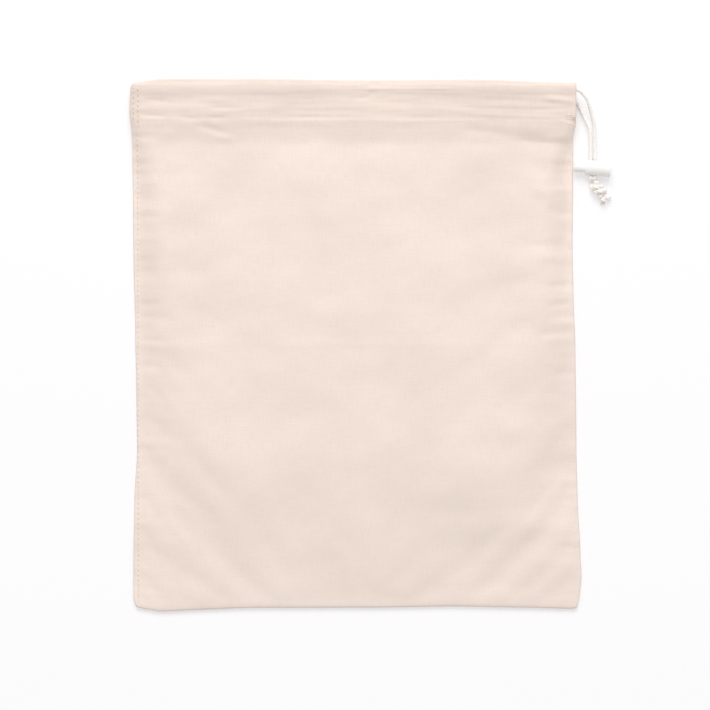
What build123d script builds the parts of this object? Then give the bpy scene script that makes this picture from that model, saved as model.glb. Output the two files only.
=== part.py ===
"""A cotton drawstring shoe bag, lying on its back: cloth panels, casings, seams, cord and spring cord lock.

Millimetres. X runs across the bag to the right, Y up to the mouth, Z out of the table that the bag lies on.
The origin is under the middle of the bag, on the table.
"""

from build123d import *
from math import cos, pi, radians, sin, tan
import os

# ---- cloth ----
panel_width = 296.0  # between the outer edges of the side seams
bag_height = 360.0
cloth = 0.6  # thickness of one layer
puff = 12.0  # height of the front panel above the table
shoulder_run = 32.0  # how far the front panel takes to come down to its side seams
mouth_shoulder = 3.0  # the same at the mouth, where the bag stands open
shoulder_fillet = 8.0
seam_rim = 5.0  # width of the flat, topstitched edge of a side seam
seam_layers = 2  # raw edges turned in between the two panels
allowance_width = 9.0

# ---- casing, the hem that the cord runs in ----
casing_height = 29.0
casing_overhang = 3.0  # of the casing past the panels, at its left turn and at its open right end
gape_length = 6.5  # the last stretch before the open end, where the casing gapes round the cord
gape_height = 9.0  # of that stretch, down from the top of the cord's ridge
slot_gap = 0.6  # between the casing's two layers
cord_clearance = 0.25  # round the cord in its casing
front_cord_drop = 7.0  # from the casing's top edge to the cord, in the front casing
back_cord_drop = 15.0  # the same in the back casing, where the cord lies lower

# ---- stitching, each row as one thin thread ----
thread_width = 0.5
thread_height = 0.3
seam_stitch_inset = 2.4  # from the panel's edge
casing_stitch_inset = 1.2  # from the casing's lower end
casing_rows_gap = 3.1  # between the two rows at the casing's left end
tack_length = 7.0
tack_rows = 3
tack_pitch = 1.6

# ---- drawcord ----
cord_diameter = 2.8
run_share = 0.45  # share of the shorter run that an arc takes

# ---- cord lock ----
flange_diameter = 11.2
flange_length = 2.4
barrel_diameter = 10.6
barrel_length = 17.2
barrel_wall = 1.5  # the closed end
collar = 1.8  # from the barrel's mouth to its cord slot
plunger_diameter = 7.0
plunger_reach = 7.6  # how far the plunger stands out of the barrel
plunger_clearance = 0.1
plunger_land = 2.4  # from the plunger's cord slot to its inner end
plunger_travel = 3.0
slot_slack = 0.5  # each side of the two strands in the cord slots
spring_wire = 0.4
spring_coils = 4.5
spring_diameter = 3.6
spring_pocket = 1.5  # depth of the spring's seat in the plunger
spring_seat_gap = 0.05
lock_tilt = -4.0  # degrees about Z
lock_out = 9.0  # from the casing's right end to the middle of the back strand in the lock
lock_below = 31.2  # from the casing's lower end to the lock's middle
straight_above = (25.4, 27.0)  # from the lock's middle up to the last corner of the back and front strands
edge_round = 0.5

# ---- knot ----
knot_diameter = 8.6
knot_gap = 0.6  # to the lock above it
knot_aside = 0.8  # from the middle between the strands to the middle of the knot's top
knot_length = 10.2  # between the middles of its round ends
knot_lean = 36.0  # degrees from straight down, to the right
tail_length = 5.0

# ---- worked out from the values above ----
half_panel = panel_width / 2
half_height = bag_height / 2
casing_bottom = half_height - casing_height
cord_radius = cord_diameter / 2
channel_radius = cord_radius + cord_clearance
ridge_radius = channel_radius + cloth
casing_flat = 2 * cloth + slot_gap  # thickness of the casing below its cord
rim_top = 2 * cloth + seam_layers * cloth
front_casing_low = puff - casing_flat
front_cord = (half_height - front_cord_drop, front_casing_low + ridge_radius)  # Y, Z
back_cord = (half_height - back_cord_drop, ridge_radius)
turn_radius = (front_cord[1] + ridge_radius) / 2  # the left turn is as high as both casings together
casing_right = half_panel + casing_overhang
turn_x = turn_radius - casing_right  # where the straight casing ends and its left turn begins
channel_end = casing_right - gape_length

strand_x = (casing_right + lock_out, casing_right + lock_out + cord_diameter)  # back strand, front strand
lock_z = flange_diameter / 2
strand_middle = sum(strand_x) / 2
lock_y = casing_bottom - lock_below
slot_width = 2 * cord_diameter + 2 * slot_slack
slot_height = cord_diameter + 2 * slot_slack

knot_radius = knot_diameter / 2
knot_y = lock_y - barrel_diameter / 2 - knot_gap - knot_radius
knot_top = Vector(strand_middle + knot_aside, knot_y, knot_radius)
knot_way = Vector(sin(radians(knot_lean)), -cos(radians(knot_lean)), 0)
knot_end = knot_top + knot_way * knot_length
strand_end = knot_top.Y + knot_radius / 2

# Routes of the two free strands, chosen by hand from where each leaves its casing.
# The last run of each is the straight stretch in the lock.
front_route = [
    (channel_end, front_cord[0], front_cord[1]),
    (casing_right - 0.2, front_cord[0], front_cord[1]),
    (casing_right + 4.3, front_cord[0] - 3.7, front_cord[1] - 0.65),
    (casing_right + 7.9, front_cord[0] - 9.3, front_cord[1] - 2.05),
    (strand_x[1], lock_y + straight_above[1], lock_z),
    (strand_x[1], strand_end, lock_z),
]
back_route = [
    (channel_end, back_cord[0], back_cord[1]),
    (casing_right - 0.9, back_cord[0], back_cord[1]),
    (casing_right + 2.3, back_cord[0] - 5.3, back_cord[1] + 0.05),
    (strand_x[0], lock_y + straight_above[0], lock_z),
    (strand_x[0], strand_end, lock_z),
]


def box_between(low, high):
    """A box from its lowest to its highest corner."""
    size = [h - l for l, h in zip(low, high)]
    middle = [(l + h) / 2 for l, h in zip(low, high)]
    return Pos(*middle) * Box(*size)


def level_outline(z, half_width, bottom, mouth_half_width, mouth_end):
    """A level outline from the bag's bottom to its mouth, which may be wider than the bottom."""
    corners = [(-half_width, bottom, z), (half_width, bottom, z)]
    corners += [(mouth_half_width, mouth_end, z), (-mouth_half_width, mouth_end, z)]
    return make_face(Polyline(corners, close=True))


def pillow(inset, mouth_end):
    """The space under the front panel, taken in by inset on every side but the mouth."""
    rim = rim_top - inset
    top = puff - inset
    bottom = inset - half_height
    foot = half_panel - seam_rim - inset / 2
    low = (inset - half_panel, bottom, cloth)
    base = box_between(low, (half_panel - inset, mouth_end, rim))
    foot_outline = level_outline(rim, foot, bottom, foot, mouth_end)
    mouth_crown = foot - mouth_shoulder
    crown_outline = level_outline(top, foot - shoulder_run, bottom + shoulder_run, mouth_crown, mouth_end)
    crown = loft([foot_outline, crown_outline], ruled=True)
    upper = [e for e in crown.edges() if e.center().Z > (rim + top) / 2 - 0.1]
    rounded = [e for e in upper if e.center().Y < mouth_end - 0.1]
    return base + fillet(rounded, shoulder_fillet)


def front_panel():
    """The front cloth: a shell that comes down to its side seams and to the bottom fold."""
    past_the_mouth = casing_bottom + cloth
    return pillow(0, casing_bottom) - pillow(cloth, past_the_mouth)


def back_panel():
    """The back cloth, flat on the table."""
    return box_between((-half_panel, -half_height, 0), (half_panel, casing_bottom, cloth))


def seam_allowance(side):
    """The raw edges of one side seam, turned in between the panels and sewn flat. side is -1 or 1."""
    outer = side * (half_panel - cloth)
    inner = outer - side * allowance_width
    low = (min(inner, outer), cloth - half_height, cloth)
    high = (max(inner, outer), casing_bottom, cloth + seam_layers * cloth)
    return box_between(low, high)


def casing_tube(cord, low):
    """One casing: two flat layers with a round channel for the cord. cord is (Y, Z), low its underside."""
    length = casing_right - turn_x
    at_cord = Pos((casing_right + turn_x) / 2, cord[0], cord[1]) * Rot(0, 90, 0)
    gape_top = cord[0] + ridge_radius
    gape = (gape_top - gape_height, low, gape_top, low + 2 * ridge_radius)
    skin = box_between((turn_x, casing_bottom, low), (casing_right, half_height, low + casing_flat))
    skin += at_cord * Cylinder(ridge_radius, length)
    skin += box_between((channel_end - cloth, gape[0], gape[1]), (casing_right, gape[2], gape[3]))
    slot_low = (turn_x - 1, casing_bottom + cloth, low + cloth)
    slot_high = (casing_right + 1, half_height - cloth, low + cloth + slot_gap)
    skin -= box_between(slot_low, slot_high)
    skin -= at_cord * Cylinder(channel_radius, length + 2)
    gape_low = (channel_end, gape[0] + cloth, gape[1] + cloth)
    return skin - box_between(gape_low, (casing_right + 1, gape[2] - cloth, gape[3] - cloth))


def front_casing():
    """The hem at the top of the front panel."""
    return casing_tube(front_cord, front_casing_low)


def back_casing():
    """The hem at the top of the back panel. Its cord makes a ridge towards the mouth."""
    return casing_tube(back_cord, 0)


def casing_left_turn():
    """The left end of the hem, where it goes round from the front casing to the back casing."""
    at_turn = Pos(turn_x, (casing_bottom + half_height) / 2, turn_radius) * Rot(90, 0, 0)
    skin = at_turn * Cylinder(turn_radius, casing_height)
    inside = at_turn * Cylinder(turn_radius - cloth, casing_height + 2)
    past_the_turn = turn_x - 2 * turn_radius
    left_side = box_between((past_the_turn, casing_bottom, 0), (turn_x, half_height, 2 * turn_radius))
    return (skin - inside) & left_side


def side_seam_stitching(side):
    """The topstitching of one side seam. side is -1 or 1."""
    middle = side * (half_panel - seam_stitch_inset)
    low = (middle - thread_width / 2, 1 - half_height, rim_top)
    high = (middle + thread_width / 2, casing_bottom, rim_top + thread_height)
    return box_between(low, high)


def casing_stitching(z):
    """The row that closes a casing at its lower end, lying on the surface at z."""
    middle = casing_bottom + casing_stitch_inset
    low = (turn_x, middle - thread_width / 2, z)
    high = (casing_right, middle + thread_width / 2, z + thread_height)
    return box_between(low, high)


def left_casing_stitching():
    """The two rows across the front casing at its left end, in three stretches beside the cord's ridge."""
    rows = []
    spans = [
        (casing_bottom + 2 * casing_stitch_inset, front_cord[0] - ridge_radius),
        (front_cord[0] + ridge_radius, half_height),
    ]
    for row in (0, 1):
        middle = turn_x + casing_stitch_inset + row * casing_rows_gap
        for start, end in spans:
            low = (middle - thread_width / 2, start, puff)
            high = (middle + thread_width / 2, end, puff + thread_height)
            rows.append(box_between(low, high))
    return Compound(children=rows)


def right_slit_tack():
    """The short rows of stitches that stop the right seam from opening below the cord's way out."""
    rows = []
    top = casing_bottom + casing_stitch_inset + tack_pitch * (tack_rows + 1)
    for row in range(tack_rows):
        middle = top - row * tack_pitch
        low = (casing_right - tack_length - 1, middle - thread_width / 2, puff)
        high = (casing_right - 1, middle + thread_width / 2, puff + thread_height)
        rows.append(box_between(low, high))
    return Compound(children=rows)


def arc_radii(route):
    """The radius of each corner's arc: as large as its two runs allow."""
    points = [Vector(*p) for p in route]
    radii = []
    for before, here, after in zip(points, points[1:], points[2:]):
        turn = (here - before).get_angle(after - here)
        shorter = min((here - before).length, (after - here).length)
        radii.append(run_share * shorter / tan(radians(turn) / 2))
    return radii


def cord_tube(name, route):
    """A round cord along its route. Prints its length, its arcs and how its volume compares."""
    radii = arc_radii(route)
    path = FilletPolyline(*route, radius=radii)
    section = Plane(origin=path @ 0, z_dir=path % 0) * Circle(cord_radius)
    tube = sweep(section, path=path)
    share = tube.volume / (pi * cord_radius**2 * path.length)
    print(name, "length", round(path.length, 1), "radii", [round(r, 1) for r in radii])
    print(name, "volume over section times length", round(share, 4))
    return tube


def cord_in_casing():
    """The stretch of cord inside the hem: front casing, left turn, back casing."""
    turn_reach = turn_x - turn_radius + cloth + cord_clearance + cord_radius
    route = [
        (channel_end, front_cord[0], front_cord[1]),
        (turn_reach, front_cord[0], front_cord[1]),
        (turn_reach, back_cord[0], back_cord[1]),
        (channel_end, back_cord[0], back_cord[1]),
    ]
    return cord_tube("drawcord_in_casing", route)


def knot():
    """The knot that both strands end in: its outer shape, lying on the table."""
    turned = Plane(origin=(knot_top + knot_end) / 2, z_dir=knot_way)
    body = turned.location * Cylinder(knot_radius, knot_length)
    return body + Pos(knot_top) * Sphere(knot_radius) + Pos(knot_end) * Sphere(knot_radius)


def tail(lean, lift):
    """A short cord end that comes out of the knot, leaning in degrees from the knot's own way."""
    way = Vector(sin(radians(knot_lean + lean)), -cos(radians(knot_lean + lean)), 0)
    start = Vector(knot_end.X, knot_end.Y, cord_radius + lift)
    middle = start + way * ((knot_radius + tail_length) / 2)
    rod = Plane(origin=middle, z_dir=way).location * Cylinder(cord_radius, knot_radius + tail_length)
    return rod - knot()


def place_lock(shape):
    """Turn a piece of the lock from its own frame, where the cords cross the origin, to its place."""
    return Pos(strand_middle, lock_y, lock_z) * Rot(0, 0, lock_tilt) * shape


def rod_x(diameter, start, end):
    """A round rod along the lock's axis."""
    return Pos((start + end) / 2, 0, 0) * Rot(0, 90, 0) * Cylinder(diameter / 2, end - start)


# Places along the lock's axis, from where the cords cross it.
barrel_mouth = -slot_width / 2 - collar
barrel_end = barrel_mouth + barrel_length
plunger_tip = barrel_mouth - plunger_reach
plunger_slot = (-slot_width / 2 - plunger_travel, slot_width / 2)
plunger_inner = plunger_slot[1] + plunger_land
bore_end = barrel_end - barrel_wall


def lock_barrel():
    """The lock's barrel: closed at its far end, bored for the plunger and slotted across for the cords."""
    body = rod_x(barrel_diameter, barrel_mouth, barrel_end)
    body += rod_x(flange_diameter, barrel_end - flange_length, barrel_end)
    rims = [e for e in body.edges() if e.geom_type == GeomType.CIRCLE]
    ends = (barrel_mouth, barrel_end)
    outer = [e for e in rims if min(abs(e.center().X - end) for end in ends) < 0.01]
    body = fillet(outer, edge_round)
    body -= rod_x(plunger_diameter + 2 * plunger_clearance, barrel_mouth - 1, bore_end)
    body -= Box(slot_width, flange_diameter + 2, slot_height)
    return place_lock(body)


def lock_plunger():
    """The lock's push button: its cord slot is longer than the barrel's by its travel."""
    body = rod_x(plunger_diameter, plunger_tip, plunger_inner)
    tip = [e for e in body.edges() if e.geom_type == GeomType.CIRCLE and e.center().X < plunger_tip + 0.01]
    body = fillet(tip, 2 * edge_round)
    slot = (plunger_slot[1] - plunger_slot[0], plunger_diameter + 2, slot_height)
    body -= Pos(sum(plunger_slot) / 2, 0, 0) * Box(*slot)
    pocket = spring_diameter + 2 * spring_wire
    body -= rod_x(pocket, plunger_inner - spring_pocket, plunger_inner + 1)
    return place_lock(body)


def lock_spring():
    """The spring that pushes the plunger out, between its pocket and the barrel's closed end."""
    start = plunger_inner - spring_pocket + spring_seat_gap + spring_wire / 2
    end = bore_end - spring_seat_gap - spring_wire / 2
    height = end - start
    coil = Helix(pitch=height / spring_coils, height=height, radius=spring_diameter / 2)
    section = Plane(origin=coil @ 0, z_dir=coil % 0) * Circle(spring_wire / 2)
    wire = sweep(section, path=coil, is_frenet=True)
    return place_lock(Pos(start, 0, 0) * Rot(0, 90, 0) * wire)


def build():
    """Every node's name and shape."""
    knot_body = knot()
    tails = Compound(children=[tail(-34, 0.2), tail(30, 1.6)])
    return {
        "front_panel": front_panel(),
        "back_panel": back_panel(),
        "front_casing": front_casing(),
        "back_casing": back_casing(),
        "casing_left_turn": casing_left_turn(),
        "left_seam_allowance": seam_allowance(-1),
        "right_seam_allowance": seam_allowance(1),
        "left_seam_stitching": side_seam_stitching(-1),
        "right_seam_stitching": side_seam_stitching(1),
        "front_casing_stitching": casing_stitching(puff),
        "back_casing_stitching": casing_stitching(casing_flat),
        "left_casing_stitching": left_casing_stitching(),
        "right_slit_tack": right_slit_tack(),
        "drawcord_in_casing": cord_in_casing(),
        "drawcord_front_end": cord_tube("drawcord_front_end", front_route) - knot_body,
        "drawcord_back_end": cord_tube("drawcord_back_end", back_route) - knot_body,
        "drawcord_knot": knot_body,
        "drawcord_tails": tails,
        "lock_barrel": lock_barrel(),
        "lock_plunger": lock_plunger(),
        "lock_spring": lock_spring(),
    }


os.makedirs("parts", exist_ok=True)
for node, shape in build().items():
    export_step(shape, f"parts/{node}.step")
    print(node, round(shape.volume, 1))
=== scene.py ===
"""A cotton drawstring shoe bag that lies on its back, dressed for rendering.

Metres, in the same frame as the CAD model: X runs across the bag to the right, Y up to the mouth and Z out
of the table. The cloth, the stitches, the cords, the knot and the lock's spring are built here. The lock's
mouldings and the cord inside the hem keep their CAD shapes and get their materials here. Sizes inside the
classes are in millimetres, as a maker gives them, and mm() turns them to metres.
"""

import logging
import math
import random
from dataclasses import dataclass, field
from enum import Enum
from typing import Callable

import bmesh
import bpy
import numpy as np
from mathutils import Matrix, Vector, noise
from mathutils.bvhtree import BVHTree


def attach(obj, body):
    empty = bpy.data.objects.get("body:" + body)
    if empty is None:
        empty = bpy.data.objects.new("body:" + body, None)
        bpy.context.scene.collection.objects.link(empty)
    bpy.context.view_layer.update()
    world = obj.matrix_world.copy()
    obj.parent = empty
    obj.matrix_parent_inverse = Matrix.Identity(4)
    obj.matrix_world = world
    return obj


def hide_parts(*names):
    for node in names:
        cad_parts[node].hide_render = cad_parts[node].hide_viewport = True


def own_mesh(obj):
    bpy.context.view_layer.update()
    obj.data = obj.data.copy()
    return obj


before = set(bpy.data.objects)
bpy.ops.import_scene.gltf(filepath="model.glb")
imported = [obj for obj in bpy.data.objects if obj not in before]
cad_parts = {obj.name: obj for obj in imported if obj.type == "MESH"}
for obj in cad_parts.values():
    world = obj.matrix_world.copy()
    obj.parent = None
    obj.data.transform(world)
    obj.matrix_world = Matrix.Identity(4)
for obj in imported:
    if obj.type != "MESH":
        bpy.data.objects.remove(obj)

log = logging.getLogger("shoe_bag")

Point = tuple[float, float, float]
Spot = tuple[float, float]
Span = tuple[float, float]
# One millimetre in metres, for whole vectors and tables of them.
MM = 0.001
# Noise reaches about 0.6 to either side of 0. This brings it to about 1.
NOISE_GAIN = 1.6


def mm(value: float) -> float:
    """Millimetres as metres."""
    return value / 1000.0


def linear(colour: str) -> tuple[float, float, float, float]:
    """Turn an sRGB hex colour to the linear values that a shader takes.

    Args:
        colour: six hex digits, such as "F2E4D8".

    Returns:
        Linear red, green and blue, and an alpha of 1.
    """
    parts = [int(colour[i : i + 2], 16) / 255.0 for i in (0, 2, 4)]
    values = [p / 12.92 if p <= 0.04045 else ((p + 0.055) / 1.055) ** 2.4 for p in parts]
    return (values[0], values[1], values[2], 1.0)


def add_node(
    tree: bpy.types.NodeTree, kind: str, settings: dict | None = None, links: dict | None = None
) -> bpy.types.Node:
    """Add one node with its settings and links.

    Args:
        tree: the material's node tree.
        kind: the shader node's Blender type, without its ShaderNode.
        settings: values for attributes, or for input sockets by name or number.
        links: for each input socket by name or number, the output that feeds it, or a node for its first one.

    Returns:
        The new node.
    """
    node = tree.nodes.new("ShaderNode" + kind)
    for key, value in (settings or {}).items():
        if isinstance(key, str) and hasattr(node, key):
            setattr(node, key, value)
        else:
            node.inputs[key].default_value = value
    for key, source in (links or {}).items():
        output = source.outputs[0] if isinstance(source, bpy.types.Node) else source
        tree.links.new(output, node.inputs[key])
    return node


def set_ramp(ramp: bpy.types.Node, low: str, high: str, top: float = 1.0) -> None:
    """Set the two ends of a ramp.

    Args:
        ramp: the ramp node.
        low: the lower end's colour, in six hex digits.
        high: the upper end's colour.
        top: the share at which the upper colour is reached.
    """
    ends = ramp.color_ramp.elements
    ends[0].color = linear(low)
    ends[1].color = linear(high)
    ends[1].position = top


def blank_material(name: str) -> tuple[bpy.types.Material, bpy.types.NodeTree]:
    """Start a material.

    Args:
        name: its name.

    Returns:
        The new material and its empty node tree.
    """
    made = bpy.data.materials.new(name)
    made.use_nodes = True
    made.node_tree.nodes.clear()
    return made, made.node_tree


def seen_straight(tree: bpy.types.NodeTree) -> bpy.types.Node:
    """Tell what the camera sees, straight or off a gloss or through clear matter, from what only lights.

    Args:
        tree: the node tree to build it in.

    Returns:
        A node that is 1 for what is seen, and 0 for the rest.
    """
    path = add_node(tree, "LightPath").outputs
    direct = {0: path["Is Camera Ray"], 1: path["Is Glossy Ray"]}
    seen = add_node(tree, "Math", {"operation": "MAXIMUM"}, direct)
    return add_node(tree, "Math", {"operation": "MAXIMUM"}, {0: seen, 1: path["Is Transmission Ray"]})


def mesh_from(bm: bmesh.types.BMesh, name: str) -> bpy.types.Mesh:
    """Turn a bmesh to a mesh and free it.

    Args:
        bm: the bmesh.
        name: the mesh's name.

    Returns:
        The mesh.
    """
    mesh = bpy.data.meshes.new(name)
    bm.to_mesh(mesh)
    bm.free()
    return mesh


def grid_mesh(name: str, over: int, up: int) -> tuple[bpy.types.Mesh, np.ndarray]:
    """Make a flat grid from -1 to 1.

    Args:
        name: the mesh's name.
        over: its squares across.
        up: its squares along.

    Returns:
        The mesh, and one row of x, y and z for each of its points.
    """
    bm = bmesh.new()
    bmesh.ops.create_grid(bm, x_segments=over, y_segments=up, size=1.0)
    mesh = mesh_from(bm, name)
    return mesh, points_of(mesh)


def points_of(mesh: bpy.types.Mesh) -> np.ndarray:
    """Read where a mesh's points are.

    Args:
        mesh: the mesh.

    Returns:
        One row of x, y and z for each point.
    """
    spots = np.zeros(len(mesh.vertices) * 3)
    mesh.vertices.foreach_get("co", spots)
    return spots.reshape(-1, 3)


def new_curve(name: str, thickness: float = 0.0, rounding: int = 0) -> bpy.types.Curve:
    """Start a round tube that follows a curve in space.

    Args:
        name: its name.
        thickness: the tube's diameter, in metres.
        rounding: how finely the tube is rounded.

    Returns:
        The curve, with no splines yet.
    """
    curve = bpy.data.curves.new(name, "CURVE")
    curve.dimensions = "3D"
    curve.bevel_depth = thickness / 2
    curve.bevel_resolution = rounding
    curve.use_fill_caps = True
    return curve


def in_scene(name: str, data: bpy.types.ID) -> bpy.types.Object:
    """Put some data into the scene.

    Args:
        name: the new object's name.
        data: its mesh, curve, camera or lamp.

    Returns:
        The new object.
    """
    made = bpy.data.objects.new(name, data)
    bpy.context.scene.collection.objects.link(made)
    return made


def drawn(curve: bpy.types.Curve) -> bpy.types.Mesh:
    """Take the mesh that Blender draws for a curve.

    Args:
        curve: the curve.

    Returns:
        The mesh.
    """
    holder = in_scene(curve.name, curve)
    bpy.context.view_layer.update()
    mesh = bpy.data.meshes.new_from_object(holder)
    bpy.data.objects.remove(holder)
    return mesh


def smooth(share: np.ndarray) -> np.ndarray:
    """Ease a share from 0 to 1, with no slope at either end."""
    held = np.clip(share, 0.0, 1.0)
    return held * held * (3.0 - 2.0 * held)


def mixed(low: np.ndarray, high: np.ndarray, share: np.ndarray) -> np.ndarray:
    """A value from low to high by a share from 0 to 1."""
    return low + (high - low) * share


def eased(where: np.ndarray, span: Span) -> np.ndarray:
    """How far each place has gone through a span: 0 before its first end and 1 past its second."""
    return smooth((where - span[0]) / (span[1] - span[0]))


@dataclass(frozen=True)
class Wave:
    """Soft unevenness in the cloth, the same at each run: a height and two wavelengths, in millimetres."""

    height: float
    across: float
    along: float
    seed: float

    def at(self, x: np.ndarray, y: np.ndarray) -> np.ndarray:
        """The lift at each place.

        Args:
            x: places across the bag.
            y: places along the bag.

        Returns:
            The lift at each place, from about -height to height.
        """
        places = zip(x.ravel() / self.across, y.ravel() / self.along)
        flat = [noise.noise(Vector((a, b, self.seed))) for a, b in places]
        return self.height * (np.array(flat).reshape(x.shape) * NOISE_GAIN)


class Body(Enum):
    """The CAD bodies that the pieces built here ride on."""

    BAG = "bag"
    LOCK = "cord_lock"


class Slot(Enum):
    """The record's material slots that the pieces built here take."""

    CLOTH = "cotton_cloth"
    THREAD = "sewing_thread"
    CORD = "cotton_cord"
    STEEL = "spring_steel"


# ---- finishes ----


@dataclass(frozen=True)
class UnbleachedCalico:
    """Plain-woven cotton, washed but not bleached: cream, matt, with uneven threads and a few husk flecks."""

    colour: str = "F3E3D8"
    thick_thread: str = "F4E5DA"
    thin_thread: str = "F1E0D5"
    fleck: str = "D9BFA6"
    # Calico has about 24 threads to the centimetre, too fine to show, so the weave is drawn twice as coarse.
    thread_mm: float = 0.8
    # The hem starts this far up the cloth, where it has two layers. Above it the colour is multiplied a shade
    # deeper: painted shade, for the casing that tilts away from the light.
    hem_mm: float = 331.5
    hem_shade_tint: str = "FDFCFB"

    def material(self) -> bpy.types.Material:
        """Build the material. It reads the piece's own UV map, which is the flat cloth in metres.

        Returns:
            The finished material.
        """
        made, tree = blank_material("UnbleachedCalico")
        flat = add_node(tree, "UVMap", {"uv_map": "flat_cloth"})
        parts = add_node(tree, "SeparateXYZ", links={0: flat})
        turns = math.pi / mm(self.thread_mm)
        waves = []
        for axis in (0, 1):
            phase = add_node(tree, "Math", {"operation": "MULTIPLY", 1: turns}, {0: parts.outputs[axis]})
            sine = add_node(tree, "Math", {"operation": "SINE"}, {0: phase})
            waves.append(sine)
        crossing = add_node(tree, "Math", {"operation": "MULTIPLY"}, {0: waves[0], 1: waves[1]})
        weave = add_node(tree, "Math", {"operation": "ABSOLUTE"}, {0: crossing})
        # Slubs are short thick stretches of one thread, about 9 mm long and one thread wide.
        slubs = []
        for stretch in ((1.0 / mm(9.0), 1.0 / mm(0.8), 1.0), (1.0 / mm(0.8), 1.0 / mm(9.0), 1.0)):
            stretched = add_node(tree, "Mapping", {"Scale": stretch}, {"Vector": flat})
            cloud = add_node(
                tree, "TexNoise", {"Scale": 1.0, "Detail": 2.0, "Roughness": 0.5}, {"Vector": stretched}
            )
            slubs.append(cloud)
        both = add_node(tree, "Math", {"operation": "ADD"}, {0: slubs[0], 1: slubs[1]})
        threads = add_node(tree, "MapRange", {"From Min": 0.75, "From Max": 1.3}, {"Value": both})
        tint = add_node(tree, "ValToRGB", links={0: threads})
        set_ramp(tint, self.thin_thread, self.thick_thread)
        tint.color_ramp.elements.new(0.5).color = linear(self.colour)
        # Washed cloth is a little uneven in tone over a hand's breadth. These soft light and dark patches
        # also stand in for the gentle shading of the cloth's broad undulations: partly real tone, partly
        # painted light and shade.
        tone_place = add_node(tree, "Mapping", {"Scale": (1 / mm(60), 1 / mm(45), 1)}, {"Vector": flat})
        tone_and_shade_cloud = add_node(tree, "TexNoise", {"Scale": 1.0, "Detail": 3.0}, {"Vector": tone_place})
        tone_and_shade_range = add_node(
            tree,
            "MapRange",
            {"From Min": 0.34, "From Max": 0.66, "To Min": 0.965, "To Max": 1.025},
            {"Value": tone_and_shade_cloud},
        )
        hem = add_node(
            tree,
            "MapRange",
            {"From Min": mm(self.hem_mm - 6.0), "From Max": mm(self.hem_mm)},
            {"Value": parts.outputs[1]},
        )
        toned = add_node(tree, "VectorMath", {"operation": "SCALE"}, {0: tint, "Scale": tone_and_shade_range})
        # Painted shade: the colour over the hem is multiplied by the hem's shade tint.
        hem_shaded = add_node(
            tree,
            "Mix",
            {"data_type": "RGBA", "blend_type": "MULTIPLY", 7: linear(self.hem_shade_tint)},
            {0: hem, 6: toned},
        )
        # Husk flecks are about half a millimetre across and a few centimetres apart.
        grain = add_node(tree, "TexNoise", {"Scale": 1 / mm(1.5), "Detail": 1.0}, {"Vector": flat})
        flecks = add_node(
            tree, "MapRange", {"From Min": 0.74, "From Max": 0.8, "To Max": 0.5}, {"Value": grain}
        )
        coloured = add_node(
            tree, "Mix", {"data_type": "RGBA", 7: linear(self.fleck)}, {0: flecks, 6: hem_shaded.outputs[2]}
        )
        raised = add_node(tree, "Math", {"operation": "MULTIPLY_ADD", 1: 0.9}, {0: threads, 2: weave})
        bump = add_node(tree, "Bump", {"Strength": 0.25, "Distance": mm(0.12)}, {"Height": raised})
        rough = add_node(tree, "MapRange", {"To Min": 0.95, "To Max": 0.82}, {"Value": threads})
        shader = add_node(
            tree,
            "BsdfPrincipled",
            {"IOR": 1.47, "Specular IOR Level": 0.2, "Sheen Weight": 0.12, "Sheen Roughness": 0.5},
            {
                "Base Color": coloured.outputs[2],
                "Roughness": rough,
                "Normal": bump,
            },
        )
        add_node(tree, "OutputMaterial", links={0: shader})
        return made


@dataclass(frozen=True)
class TwistedCottonCord:
    """Soft three-strand cotton cord with a loose twist: matt cream yarn, with painted shade between its
    fibres.
    """

    colour: str = "FDF8F3"
    fibre_gap_shade: str = "F5ECE3"

    def material(self) -> bpy.types.Material:
        """Build the material. It reads the strands' places in the bag.

        Returns:
            The finished material.
        """
        made, tree = blank_material("TwistedCottonCord")
        place = add_node(tree, "TexCoord").outputs["Object"]
        # The yarns in a strand are about 0.3 mm thick, too fine to show, and are drawn as 0.9 mm fibres.
        fibre = add_node(
            tree, "TexNoise", {"Scale": 1 / mm(0.9), "Detail": 3.0, "Roughness": 0.6}, {"Vector": place}
        )
        soft = add_node(tree, "TexNoise", {"Scale": 1 / mm(4.0), "Detail": 1.0}, {"Vector": place})
        blend = add_node(tree, "Math", {"operation": "MULTIPLY_ADD", 1: 0.4}, {0: soft, 2: fibre})
        share = add_node(tree, "MapRange", {"From Min": 0.5, "From Max": 0.8}, {"Value": blend})
        # Painted shade: the colour deepens in a noise pattern, for the gaps between the fibres.
        tint = add_node(tree, "ValToRGB", links={0: share})
        set_ramp(tint, self.fibre_gap_shade, self.colour, 0.55)
        bump = add_node(tree, "Bump", {"Strength": 0.5, "Distance": mm(0.15)}, {"Height": fibre})
        shader = add_node(
            tree,
            "BsdfPrincipled",
            {
                "Roughness": 0.9,
                "IOR": 1.47,
                "Specular IOR Level": 0.2,
                "Sheen Weight": 0.2,
                "Sheen Roughness": 0.4,
            },
            {"Base Color": tint, "Normal": bump},
        )
        add_node(tree, "OutputMaterial", links={0: shader})
        return made


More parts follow.
